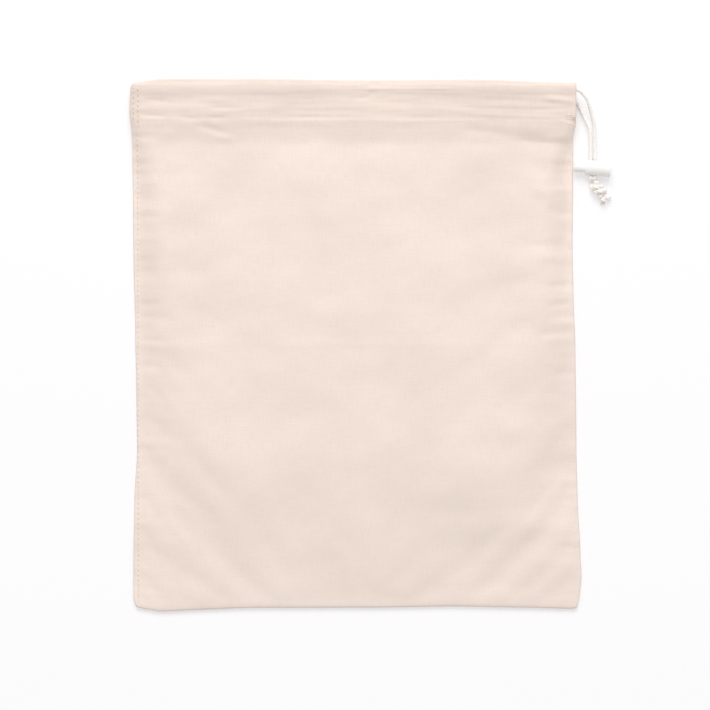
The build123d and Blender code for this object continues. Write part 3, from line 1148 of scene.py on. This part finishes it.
@dataclass
class BagCloth:
    """The one length of calico: hemmed, folded at the bottom and seamed at both sides. Millimetres."""

    finish: bpy.types.Material
    slack_cloth: SlackCloth
    half_panel: float = 148.0
    half_height: float = 180.0
    casing_bottom: float = 151.0
    allowance: float = 9.0
    layer: float = 0.6
    wall: float = 0.5
    back_low: float = 0.32
    front_rim: float = 2.1
    front_high: float = 11.7
    inner_front: float = 10.5
    inner_back: float = 1.5
    rim: float = 3.5
    shoulder_low: float = 42.0
    shoulder_mouth: float = 15.0
    shoulder_span: Span = (-148.0, 151.0)
    shoulder_power: float = 1.7
    foot_run: float = 120.0
    foot_start: float = 0.5
    foot_power: float = 1.6
    foot_lift: float = 1.1
    foot_curl: Span = (-140.0, -180.0)
    fold_radius: float = 0.9
    fold_hold: Span = (-180.0, -172.0)
    fold_freedom: float = 0.25
    hem_radius: float = 0.6
    hem_depth: float = 28.0
    seam_bend: float = 0.8
    seam_hold: Span = (149.0, 140.0)
    seam_freedom: float = 0.45
    casing_free: Span = (146.0, 154.0)
    # The panel's top stretch has its rows close together. The counts are those that rows() takes.
    panel_top: float = 50.0
    front_rows: tuple[int, ...] = (2, 150, 46, 44, 3, 10)
    back_rows: tuple[int, ...] = (2, 46, 8, 12, 3, 20)
    turn_x: float = 143.65
    casing_right: float = 151.0
    turn_reach: float = 7.3
    inner_turn: float = 3.0
    slit: Span = (149.5, 154.5)
    left_rise: Span = (104.0, 154.0)
    right_rise: Span = (118.0, 152.0)
    hem_pinch: Span = (155.0, 151.0)
    pinch_depth: float = 0.5
    # The front casing lies over its cord, and the front sinks just below the casing.
    ridge_crown: float = 174.8
    ridge_edge: float = 169.0
    ridge_flat: float = 0.68
    ridge_lift: float = 1.15
    ridge_skirt: float = 0.8
    skirt_run: float = 8.0
    casing_lift: float = 0.75
    casing_rise: Span = (151.0, 163.0)
    # The front casing's cord, along the bag and above the table, and how far cloth lies on it.
    cord_place: Spot = (173.0, 12.45)
    over_cord: float = 1.8
    cord_reach: float = 140.0
    sill: float = 1.9
    sill_in: Span = (152.0, 134.0)
    sill_out: Span = (32.0, 132.0)
    back_ridge_y: float = 165.0
    back_ridge_lift: float = 2.9
    back_ridge_width: float = 2.3
    # The cloth's unevenness. The casing is held by its rows, and the foot lies flatter than the middle.
    casing_hold: Span = (146.0, 152.0)
    casing_slack: float = 0.5
    foot_calm: Span = (-130.0, -60.0)
    foot_slack: float = 0.55
    sags: tuple[Wave, ...] = (Wave(0.8, 80.0, 55.0, 3.1), Wave(0.3, 26.0, 17.0, 8.7))
    casing_wrinkles: tuple[Wave, ...] = (Wave(0.12, 17.0, 2.9, 15.3), Wave(0.12, 9.0, 16.0, 6.9))
    cord_wrinkles: Wave = Wave(0.23, 36.0, 4.6, 5.3)
    cord_hold: Span = (171.0, 165.0)
    # Short puckers run in from the side seams, which draw the cloth up: (side, reach, wave).
    side_puckers: tuple[tuple[float, float, Wave], ...] = (
        (-1.0, 10.0, Wave(0.55, 50.0, 4.4, 12.5)),
        (-1.0, 28.0, Wave(0.45, 40.0, 10.0, 15.5)),
        (1.0, 10.0, Wave(0.55, 50.0, 4.4, 27.4)),
        (1.0, 28.0, Wave(0.45, 40.0, 10.0, 30.4)),
    )
    hem_puckers: Wave = Wave(0.25, 4.6, 40.0, 41.0)
    hem_pucker_reach: float = 5.0
    hem_bead: float = 0.13
    bead_above: float = 0.4
    bead_width: float = 1.1
    hem_above: float = 0.3
    hem_slope: float = 1.1
    back_waves: Wave = Wave(0.16, 40.0, 30.0, 17.0)
    # How much of the outline's shift each place takes, by how near it is to that edge.
    left_share: Span = (-20.0, -140.0)
    right_share: Span = (20.0, 140.0)
    bottom_share: Span = (-100.0, -178.0)
    top_share: Span = (174.5, 179.5)
    # Where each edge of the bag lies, read as a sagging line: (along, across).
    left_edge: tuple[Spot, ...] = (
        (-180, -147.0), (-174, -148.9), (-140, -148.9), (-105, -148.2), (-71, -146.4), (-37, -146.9),
        (10, -147.7), (64, -148.9), (132, -149.5), (146, -150.4), (156, -151.6), (171, -151.2), (180, -149.8),
    )
    right_edge: tuple[Spot, ...] = (
        (-180, 150.6), (-172, 152.3), (-159, 153.6), (-139, 152.8), (-105, 151.0), (-71, 150.2), (0, 149.5),
        (30, 148.3), (64, 147.6), (110, 147.9), (138, 147.9), (149, 149.8), (180, 149.7),
    )
    bottom_edge: tuple[Spot, ...] = (
        (-150, -176.6), (-142, -178.6), (-131, -180.2), (-104, -178.9), (-70, -177.6), (13, -177.4),
        (65, -176.6), (110, -177.4), (146, -178.3), (152, -176.0),
    )
    top_edge: tuple[Spot, ...] = (
        (-152, 176.4), (-131, 179.4), (-70, 179.5), (0, 178.4), (80, 178.9), (152, 176.6),
    )
    creases: tuple[Crease, ...] = (
        # the fold across the middle, from the packet
        Crease((-150.0, 0.7), (151.0, 0.7), 1.0, 34.0),
        Crease((-150.0, 1.4), (151.0, 0.2), 0.16, 2.6),
        # short folds that run in from the left seam
        Crease((-149.0, 108.0), (-128.0, 110.0), 0.4, 2.6),
        Crease((-149.0, 98.0), (-130.0, 97.0), -0.4, 2.2),
        Crease((-149.0, 88.0), (-127.0, 86.0), -0.45, 2.2),
        Crease((-149.0, 71.0), (-130.0, 72.0), 0.4, 2.3),
        Crease((-149.0, 28.0), (-128.0, 27.5), -0.6, 1.8),
        Crease((-149.0, 22.0), (-132.0, 22.5), 0.35, 1.8),
        Crease((-149.0, 3.8), (-124.0, 2.2), -0.7, 1.8),
        Crease((-149.0, -13.0), (-129.0, -15.0), -0.4, 2.2),
        # and from the right seam
        Crease((153.0, 114.0), (106.0, 125.0), -0.9, 7.0),
        Crease((152.0, 101.0), (116.0, 106.0), 0.75, 5.0),
        Crease((149.0, 88.0), (128.0, 92.0), -0.4, 2.4),
        Crease((149.0, 71.0), (120.0, 66.0), -0.55, 2.6),
        Crease((149.0, 61.0), (124.0, 58.0), 0.5, 3.0),
        Crease((150.0, 41.0), (126.0, 39.0), -0.6, 2.2),
        Crease((150.0, 34.0), (130.0, 31.0), 0.4, 2.0),
        Crease((150.0, 27.5), (128.0, 26.0), -0.5, 2.0),
        Crease((151.0, 16.0), (128.0, 14.0), 0.4, 2.0),
        Crease((151.0, 9.5), (122.0, 6.5), -0.75, 2.2),
        Crease((151.0, -18.0), (130.0, -20.0), -0.4, 2.2),
        Crease((151.0, -34.0), (128.0, -33.0), -0.4, 2.2),
        # slack that lies slanting in the lower left part
        Crease((-124.6, -69.0), (-67.0, -121.0), -0.42, 6.5, bow=3.0),
        Crease((-112.0, -58.0), (-50.0, -110.0), 0.34, 9.0, bow=3.0),
        Crease((-132.7, -92.7), (-106.3, -139.5), -0.36, 5.0, bow=2.0),
        # level folds in the lower right part
        Crease((30.0, -112.0), (156.0, -107.0), -0.26, 7.0, bow=-3.0),
        Crease((50.0, -125.0), (157.0, -124.0), 0.22, 7.0),
        Crease((25.0, -140.0), (157.0, -141.0), -0.2, 6.0, bow=2.0),
        Crease((60.0, -155.0), (157.0, -154.0), 0.16, 6.0),
        Crease((40.0, -166.0), (156.0, -168.0), -0.25, 5.0),
        # slack just below the hem
        Crease((-108.0, 150.0), (-84.0, 141.5), -0.85, 2.4),
        Crease((-94.0, 141.5), (-80.0, 138.0), 0.6, 2.2),
        Crease((108.0, 139.0), (156.0, 136.4), -1.9, 8.0, Relief.PLEAT, bow=-1.0),
        Crease((70.0, 146.0), (110.0, 142.0), -0.6, 3.2),
        # the notch that the cord's ridge makes, and the casing's own creases
        Crease((13.4, 181.0), (12.2, 166.0), -1.0, 1.5),
        Crease((12.8, 172.5), (19.5, 181.0), -0.7, 1.4),
        Crease((12.4, 169.0), (4.0, 166.0), -0.5, 1.3),
        Crease((-143.0, 166.0), (-122.0, 164.5), -0.4, 1.6),
        Crease((-144.0, 160.5), (-100.0, 161.5), 0.22, 2.4),
        Crease((-144.0, 155.0), (-126.0, 154.2), -0.4, 1.5),
        Crease((-118.0, 153.4), (-104.0, 152.4), -0.35, 1.4),
        Crease((-101.0, 153.2), (-84.0, 153.4), -0.35, 1.3),
        Crease((-46.0, 154.0), (12.0, 153.4), -0.28, 1.3),
        Crease((-100.0, 160.0), (-72.0, 159.5), -0.3, 1.3),
        Crease((40.0, 165.0), (120.0, 166.0), -0.2, 1.6),
        Crease((60.0, 160.5), (142.0, 158.5), -0.3, 1.5),
        Crease((70.0, 155.5), (147.0, 153.8), 0.3, 1.3),
        Crease((128.0, 166.6), (154.0, 163.6), 0.95, 2.0),
        Crease((118.0, 158.6), (152.0, 159.4), -0.36, 1.6),
    )

    def rows(self, counts: tuple[int, ...]) -> list[Spot]:
        """Where the rows of one half of the cloth lie.

        Args:
            counts: how many rows the fold, the panel, its top, the casing, the hem's bend and its inner layer
                get.

        Returns:
            From the bottom fold: (rows so far, millimetres so far).
        """
        arc = self.fold_radius * math.pi / 2
        panel = arc + (self.casing_bottom + self.half_height - self.fold_radius)
        casing = panel + (self.half_height - self.hem_radius - self.casing_bottom)
        hem = casing + self.hem_radius * math.pi
        reaches = (arc, panel - self.panel_top, panel, casing, hem, hem + self.hem_depth)
        marks = [(0.0, 0.0)]
        for count, reached in zip(counts, reaches):
            marks.append((marks[-1][0] + count, reached))
        return marks

    def columns(self) -> list[Spot]:
        """Where the columns of the cloth lie, from its middle.

        Returns:
            (columns so far, millimetres so far).
        """
        edge = self.half_panel
        bent, cut = edge + self.seam_bend, edge + self.allowance
        return [(0.0, 0.0), (38.0, 114.0), (60.0, edge - 0.6), (62.0, edge), (64.0, bent), (67.0, cut)]

    def front_height(self, x: np.ndarray, y: np.ndarray) -> np.ndarray:
        """The height of the front panel above the table, before its creases.

        Args:
            x: places across the bag.
            y: places along the bag.

        Returns:
            The height of the cloth's middle.
        """
        run = mixed(self.shoulder_low, self.shoulder_mouth, eased(y, self.shoulder_span))
        side = np.clip((self.half_panel - self.rim - np.abs(x)) / run, 0.0, 1.0)
        side = mixed(side, smooth(side), 0.5)
        foot = np.clip((y + self.half_height - self.foot_start) / self.foot_run, 0.0, 1.0)
        crown = (1.0 - (1.0 - side) ** self.shoulder_power) * (1.0 - (1.0 - foot) ** self.foot_power)
        return self.front_rim + (self.front_high - self.front_rim - self.sill_drop(y)) * crown

    def ridge(self, y: np.ndarray) -> np.ndarray:
        """The lift of the front casing over its cord: a round crown, a crisp edge below it and a soft skirt.

        Args:
            y: places along the bag.

        Returns:
            The lift, in millimetres.
        """
        top = self.half_height - self.hem_radius
        above = np.clip((y - self.ridge_crown) / (top - self.ridge_crown), 0.0, 1.0)
        below = np.clip((self.ridge_crown - y) / (self.ridge_crown - self.ridge_edge), 0.0, 1.0)
        over_top = self.ridge_flat + (1.0 - self.ridge_flat) * np.cos(math.pi * above)
        crown = np.where(y > self.ridge_crown, over_top, 1.0 - below**2)
        skirt = np.clip((y - self.ridge_edge + self.skirt_run) / self.skirt_run, 0.0, 1.0)
        lift = self.ridge_lift * crown + self.ridge_skirt * skirt**2
        return lift + self.casing_lift * eased(y, self.casing_rise)

    def sill_drop(self, y: np.ndarray) -> np.ndarray:
        """How far the front sinks just below its hem, which is the stiffer of the two."""
        return self.sill * eased(y, self.sill_in) * eased(y, self.sill_out)

    def resting(self, y: np.ndarray) -> np.ndarray:
        """The least height of the front casing, where it rests on its cord."""
        aside = np.minimum(np.abs(y - self.cord_place[0]), self.over_cord)
        return self.cord_place[1] + np.sqrt(self.over_cord**2 - aside**2)

    def back_ridge(self, y: np.ndarray) -> np.ndarray:
        """The lift of the back casing's inner layer over its cord."""
        return self.back_ridge_lift * np.exp(-(((y - self.back_ridge_y) / self.back_ridge_width) ** 2))

    def relief(self, x: np.ndarray, y: np.ndarray) -> np.ndarray:
        """The creases, puckers and soft unevenness of the front cloth.

        Args:
            x: places across the bag.
            y: places along the bag.

        Returns:
            The lift at each place, in millimetres.
        """
        casing = eased(y, self.casing_hold)
        loose = mixed(1.0, self.casing_slack, casing) * mixed(self.foot_slack, 1.0, eased(y, self.foot_calm))
        lift = loose * sum(wave.at(x, y) for wave in self.sags)
        lift += casing * sum(wave.at(x, y) for wave in self.casing_wrinkles)
        lift += casing * self.cord_wrinkles.at(x, y) * eased(y, self.cord_hold)
        from_seam = self.half_panel - np.abs(x)
        for side, reach, wave in self.side_puckers:
            here = (np.sign(x) == side) * (1.0 - casing)
            lift += here * np.exp(-from_seam / reach) * wave.at(x, y)
        lift += np.exp(-np.abs(y - self.casing_bottom) / self.hem_pucker_reach) * self.hem_puckers.at(x, y)
        from_bead = (y - self.hem_line(x) - self.bead_above) / self.bead_width
        lift += self.hem_bead * np.exp(-(from_bead**2))
        for crease in self.creases:
            lift += crease.lift(x, y)
        return lift + self.slack_cloth.lift(x, y) * (1.0 - casing)

    def hem_line(self, x: np.ndarray) -> np.ndarray:
        """Where the casing's stitches run: a little lower at the right."""
        return self.casing_bottom + self.hem_above - self.hem_slope * x / self.half_panel

    def place(self, s: np.ndarray, t: np.ndarray) -> np.ndarray:
        """Fold the flat cloth into the bag.

        Args:
            s: places across the flat cloth, from its middle, in millimetres.
            t: places along it, from the bottom fold, above 0 for the front.

        Returns:
            One row of x, y and z for each place, in millimetres.
        """
        half = np.where(t >= 0, 1.0, -1.0)
        gone = np.abs(t)
        arc = self.fold_radius * math.pi / 2
        to_hem = arc + 2 * self.half_height - self.fold_radius - self.hem_radius
        bend = np.clip((gone - to_hem) / self.hem_radius, 0.0, math.pi)
        turned = (1.0 - np.cos(bend)) / 2
        around = np.minimum(gone / self.fold_radius, math.pi / 2)
        y = -self.half_height + self.fold_radius * (1.0 - np.cos(around)) + np.maximum(gone - arc, 0.0)
        top = self.half_height - self.hem_radius
        y = np.where(gone > to_hem, top + self.hem_radius * np.sin(bend), y)
        y = np.where(bend >= math.pi, top - (gone - to_hem - self.hem_radius * math.pi), y)

        side = np.sign(s)
        tucked = np.clip(np.abs(s) - self.half_panel, 0.0, None)
        across = np.abs(s) - 2 * tucked
        under = smooth(tucked / self.seam_bend) * self.layer

        panel_x = side * across
        panel_z = np.where(half > 0, self.front_height(panel_x, y), self.back_low)
        middle_low = (self.front_rim + self.back_low) / 2
        folded = middle_low + half * (self.front_rim - self.back_low) / 2 * np.sin(around)
        panel_z = np.where(gone < arc, folded, panel_z) - half * under * (gone > arc)

        casing_high = self.front_high + self.ridge(y)
        back_inside = self.inner_back + self.back_ridge(y)
        outer = np.where(half > 0, casing_high - self.sill_drop(y), self.back_low)
        pinch = self.pinch_depth * half * eased(y, self.hem_pinch) * (turned > 0.5)
        inner = np.where(half > 0, self.inner_front, back_inside) + pinch
        height = mixed(outer, inner, turned)
        centre = mixed((casing_high + self.back_low) / 2, (self.inner_front + back_inside) / 2, turned)
        reach = mixed(self.turn_reach, self.inner_turn, turned)
        quarter = reach * math.pi / 2
        from_seam = self.half_panel - across
        swing = np.clip(from_seam / quarter, 0.0, 1.0) * math.pi / 2
        straight = np.maximum(from_seam - quarter, 0.0) * self.turn_x / (self.half_panel - quarter)
        turned_x = self.turn_x + (reach - under) * np.cos(swing) - straight
        turned_z = centre + (height - centre - half * under) * np.sin(swing)
        # Only the casing's right end is open: its seam stops at the tack.
        parted = (side > 0) * eased(y, self.slit)
        casing_x = side * mixed(turned_x, across * self.casing_right / self.half_panel, parted)
        casing_z = mixed(turned_z, height - half * under, parted)

        risen = np.where(side < 0, eased(y, self.left_rise), eased(y, self.right_rise))
        x = mixed(panel_x, casing_x, risen)
        z = mixed(panel_z, casing_z, risen)

        shown = (half > 0) * (1.0 - turned) * (gone > arc)
        z = z + self.relief(x, y) * shown * self.held_down(x, y)
        # The bottom fold curls up a little off the table.
        z = z + self.foot_lift * eased(y, self.foot_curl) ** 2
        near_cord = np.abs(y - self.cord_place[0]) < self.over_cord
        on_cord = (shown > 0.5) & (across < self.cord_reach) & near_cord
        z = np.where(on_cord, np.maximum(z, self.resting(y)), z)
        back_lift = self.back_waves.height + self.back_waves.at(x, y)
        z = z + (half < 0) * (1.0 - turned) * back_lift * (1.0 - risen)
        return np.stack(self.settled(x, y, risen) + (z,), axis=1)

    def held_down(self, x: np.ndarray, y: np.ndarray) -> np.ndarray:
        """How free the cloth is to rise: less so on the flat seams and at the bottom fold.

        Args:
            x: places across the bag.
            y: places along the bag.

        Returns:
            The share of the relief that each place takes.
        """
        seam = mixed(self.seam_freedom, 1.0, eased(np.abs(x), self.seam_hold))
        fold = mixed(self.fold_freedom, 1.0, eased(y, self.fold_hold))
        return np.maximum(seam, eased(y, self.casing_free)) * fold

    def settled(self, x: np.ndarray, y: np.ndarray, risen: np.ndarray) -> tuple[np.ndarray, np.ndarray]:
        """Shift the cloth sideways to the bag's uneven outline.

        Args:
            x: places across the bag.
            y: places along the bag.
            risen: how far each place has gone over from panel to casing, from 0 to 1.

        Returns:
            The shifted x and y.
        """
        left_now = -mixed(self.half_panel, self.turn_x + self.turn_reach, risen)
        right_now = mixed(self.half_panel, self.casing_right, risen)
        left = self.along_edge(self.left_edge, y) - left_now
        right = self.along_edge(self.right_edge, y) - right_now
        bottom = self.along_edge(self.bottom_edge, x) + self.half_height
        top = self.along_edge(self.top_edge, x) - self.half_height
        sideways = left * eased(x, self.left_share) + right * eased(x, self.right_share)
        lengthways = bottom * eased(y, self.bottom_share) + top * eased(y, self.top_share)
        return x + sideways, y + lengthways

    @staticmethod
    def along_edge(edge: tuple[Spot, ...], where: np.ndarray) -> np.ndarray:
        """Where an edge lies at each place along it.

        Args:
            edge: a few places along the edge, each with where the edge lies there.
            where: the places wanted.

        Returns:
            The edge's place, eased from one given place to the next.
        """
        marks = np.array(edge, float)
        index = np.clip(np.searchsorted(marks[:, 0], where) - 1, 0, len(marks) - 2)
        share = (where - marks[index, 0]) / (marks[index + 1, 0] - marks[index, 0])
        share = np.clip(share, 0.0, 1.0)
        return mixed(marks[index, 1], marks[index + 1, 1], mixed(share, smooth(share), 0.5))

    def build(self) -> bpy.types.Object:
        """Cut the flat cloth, fold it into the bag and give it its thickness.

        Returns:
            The cloth piece, which replaces the panels, the casings and the seam allowances.
        """
        self.slack_cloth.settle(self.front_height)
        front, back, columns = self.rows(self.front_rows), self.rows(self.back_rows), self.columns()
        down = int(front[-1][0] + back[-1][0])
        over = int(columns[-1][0])
        mesh, spots = grid_mesh("bag_cloth", 2 * over, down)
        column_marks = np.array(columns)
        row_marks = np.array([(-row, -reached) for row, reached in reversed(back[1:])] + front)
        beside = np.abs(spots[:, 0]) * over
        s = np.sign(spots[:, 0]) * np.interp(beside, column_marks[:, 0], column_marks[:, 1])
        t = np.interp((spots[:, 1] + 1.0) / 2.0 * down - back[-1][0], row_marks[:, 0], row_marks[:, 1])
        # The row at the bottom fold lies on it.
        t[np.abs(t) < 1e-3] = 0.0
        placed = self.place(s, t) * MM
        mesh.vertices.foreach_set("co", placed.ravel())
        corners = np.zeros(len(mesh.loops), int)
        mesh.loops.foreach_get("vertex_index", corners)
        flat_map = mesh.uv_layers.new(name="flat_cloth")
        flat_map.data.foreach_set("uv", (np.stack((s, t), axis=1)[corners] * MM).ravel())
        mesh.update()
        piece = new_piece(mesh, self.finish, Body.BAG)
        thick = piece.modifiers.new("thickness", "SOLIDIFY")
        thick.thickness = mm(self.wall)
        thick.offset = 0.0
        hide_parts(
            "front_panel",
            "back_panel",
            "front_casing",
            "back_casing",
            "casing_left_turn",
            "left_seam_allowance",
            "right_seam_allowance",
        )
        return piece


# ---- stitches ----


@dataclass
class StitchRow:
    """One row of lockstitch laid on the cloth. Millimetres."""

    name: str
    replaces: str
    # The two ends of each straight run in turn.
    line: tuple[Spot, ...]
    looks_from: float = 40.0
    pitch: float = 3.5
    stitch: float = 3.4
    thread: float = 0.75
    proud: float = 0.05
    flatness: float = 0.8
    # How dark the painted shade at the needle holes is, how far along a half stitch it starts, and how fast
    # it deepens.
    hole_shade_depth: float = 0.5
    hole_start: float = 0.45
    hole_rise: float = 2.2
    # The least painted shade over the whole stitch, for thread that lies sunk in the cloth.
    shade: float = 0.0

    def build(self, cloth: BVHTree, finish: bpy.types.Material) -> None:
        """Lay the row's stitches along its line, on whatever cloth lies below it.

        Args:
            cloth: the cloth's surface.
            finish: the thread's material.
        """
        bm = bmesh.new()
        bm.verts.layers.float.new("hole_shade_share")
        runs = zip(self.line[::2], self.line[1::2])
        for start, end in runs:
            run = Vector((*end, 0.0)) - Vector((*start, 0.0))
            count = max(1, int(run.length / self.pitch))
            way = run.normalized()
            for index in range(count):
                at = Vector((*start, 0.0)) + way * (self.pitch * (index + 0.5))
                self.lay(bm, at, way, cloth)
        piece = new_piece(mesh_from(bm, self.name), finish, Body.BAG)
        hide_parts(self.replaces)

    def lay(self, bm: bmesh.types.BMesh, at: Vector, way: Vector, cloth: BVHTree) -> None:
        """Lay one stitch, its two ends dipping into the cloth.

        Args:
            bm: the row so far.
            at: the middle of the stitch.
            way: its direction.
            cloth: the cloth's surface.
        """
        down = Vector((0, 0, -1))
        ends = [at - way * (self.stitch / 2), at + way * (self.stitch / 2)]
        hits = [cloth.ray_cast(Vector((p.x, p.y, self.looks_from)) * MM, down)[0] for p in ends]
        if None in hits:
            log.warning("%s: no cloth lies below the stitch at %.1f, %.1f", self.name, at.x, at.y)
            return
        low, high = hits[0] * 1000, hits[1] * 1000
        run = (high - low).normalized()
        side = run.cross(Vector((0, 0, 1))).normalized()
        up = side.cross(run)
        made = bmesh.ops.create_uvsphere(bm, u_segments=6, v_segments=6, radius=0.5)
        hole_shade_layer = bm.verts.layers.float.get("hole_shade_share")
        length, width = (high - low).length, self.thread
        for vert in made["verts"]:
            # The stitch's ends get painted shade, for the needle holes that the thread goes into.
            past_start = max(0.0, abs(vert.co.z) * 2.0 - self.hole_start)
            vert[hole_shade_layer] = max(self.shade, self.hole_shade_depth * min(1.0, past_start * self.hole_rise))
            along, across, rise = vert.co.z * length, vert.co.x * width, vert.co.y * width * self.flatness
            vert.co = ((low + high) / 2 + run * along + side * across + up * (rise + self.proud)) * MM


@dataclass
class Stitching:
    """All the rows of stitches on the bag."""

    finish: bpy.types.Material
    cloth: BagCloth

    def rows(self) -> list[StitchRow]:
        """List every row, with where it runs.

        Returns:
            The rows, from the seams to the tack at the slit.
        """
        hem = [(float(x), float(self.cloth.hem_line(np.array(x)))) for x in np.linspace(-143.0, 149.0, 25)]
        hem_runs = [spot for pair in zip(hem, hem[1:]) for spot in pair]
        return [
            StitchRow(
                "left_seam_stitches",
                "left_seam_stitching",
                ((-146.6, 145.0), (-146.3, 120.0), (-146.3, 120.0), (-145.9, -176.0)),
                hole_shade_depth=0.55,
            ),
            StitchRow(
                "right_seam_stitches",
                "right_seam_stitching",
                ((146.2, 134.0), (147.2, -20.0), (147.2, -20.0), (150.6, -172.0)),
                proud=-0.24,
                hole_shade_depth=0.14,
                shade=0.1,
            ),
            StitchRow(
                "front_casing_stitches",
                "front_casing_stitching",
                tuple(hem_runs),
                proud=-0.26,
                hole_shade_depth=0.16,
                shade=0.12,
            ),
            # This row is on the back casing's inner layer, below the front one.
            StitchRow(
                "back_casing_stitches",
                "back_casing_stitching",
                ((-140.0, 152.4), (148.0, 152.4)),
                looks_from=7.5,
            ),
            StitchRow(
                "left_casing_stitches",
                "left_casing_stitching",
                ((-148.9, 177.0), (-148.9, 150.0), (-145.8, 178.5), (-145.8, 146.5)),
                hole_shade_depth=1.0,
            ),
            StitchRow(
                "right_slit_stitches",
                "right_slit_tack",
                (
                    (143.5, 155.4), (149.5, 154.9), (143.5, 152.6),
                    (149.5, 152.1), (143.7, 149.4), (149.5, 149.0),
                ),
                pitch=2.4,
                stitch=2.3,
                hole_shade_depth=0.35,
            ),
        ]

    def build(self, cloth_piece: bpy.types.Object) -> None:
        """Lay every row on the cloth.

        Args:
            cloth_piece: the finished cloth.
        """
        bpy.context.view_layer.update()
        surface = BVHTree.FromObject(cloth_piece, bpy.context.evaluated_depsgraph_get())
        for row in self.rows():
            row.build(surface, self.finish)


# ---- cord lock ----


@dataclass
class CordLock:
    """The spring cord lock. Its spring is wound here. Millimetres, along the lock from its middle."""

    plastic: bpy.types.Material
    steel: bpy.types.Material
    mouldings: tuple[str, ...] = ("lock_barrel", "lock_plunger")
    middle: Point = (161.4, 119.8, 5.6)
    tilt: float = -4.0
    button_travel: float = 3.0
    spring_start: float = 4.45
    spring_end: float = 10.35
    spring_radius: float = 1.8
    wire_radius: float = 0.2
    coils: float = 4.5
    wire_sides: int = 10
    coil_steps: int = 24

    def build(self) -> list[bpy.types.Object]:
        """Give the mouldings their material, put the spring in and return the lock's three pieces."""
        return [dressed(node, self.plastic) for node in self.mouldings] + [self.spring()]

    def spring(self) -> bpy.types.Object:
        """Wind the coil spring, which closes up towards the barrel's end as the button goes in.

        Returns:
            The spring piece, which replaces its CAD solid.
        """
        bm = bmesh.new()
        foot = Matrix.Translation((mm(self.spring_start), mm(self.spring_radius), 0.0))
        bmesh.ops.create_circle(bm, segments=self.wire_sides, radius=mm(self.wire_radius), matrix=foot)
        steps = round(self.coils * self.coil_steps)
        bmesh.ops.spin(
            bm,
            geom=bm.verts[:] + bm.edges[:],
            cent=(0.0, 0.0, 0.0),
            axis=(1.0, 0.0, 0.0),
            dvec=(mm(self.spring_end - self.spring_start) / steps, 0.0, 0.0),
            angle=2 * math.pi * self.coils,
            steps=steps,
        )
        bmesh.ops.holes_fill(bm, edges=[e for e in bm.edges if e.is_boundary], sides=self.wire_sides)
        bmesh.ops.recalc_face_normals(bm, faces=bm.faces)
        middle = Vector([mm(value) for value in self.middle])
        turn = Matrix.Rotation(math.radians(self.tilt), 4, "Z")
        bmesh.ops.transform(bm, matrix=Matrix.Translation(middle) @ turn, verts=bm.verts)
        piece = new_piece(mesh_from(bm, "lock_spring_coil"), self.steel, Body.LOCK)
        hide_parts("lock_spring")
        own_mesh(piece)
        return piece


def main() -> None:
    """Build the studio and the bag's pieces in order."""
    logging.basicConfig(level=logging.INFO, format="%(message)s")
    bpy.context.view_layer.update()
    Studio().build()
    cotton_cord = TwistedCottonCord().material()
    knot = Knot(cotton_cord)
    lock = CordLock(MouldedPolypropylene().material(), DrawnSpringSteel().material()).build()
    DrawcordEnds(cotton_cord).build(knot.build(), knot.tails(), lock)
    dressed("drawcord_in_casing", cotton_cord)
    bag = BagCloth(UnbleachedCalico().material(), SlackCloth())
    cloth_piece = bag.build()
    Stitching(SewingThread().material(), bag).build(cloth_piece)


if __name__ == "__main__":
    main()
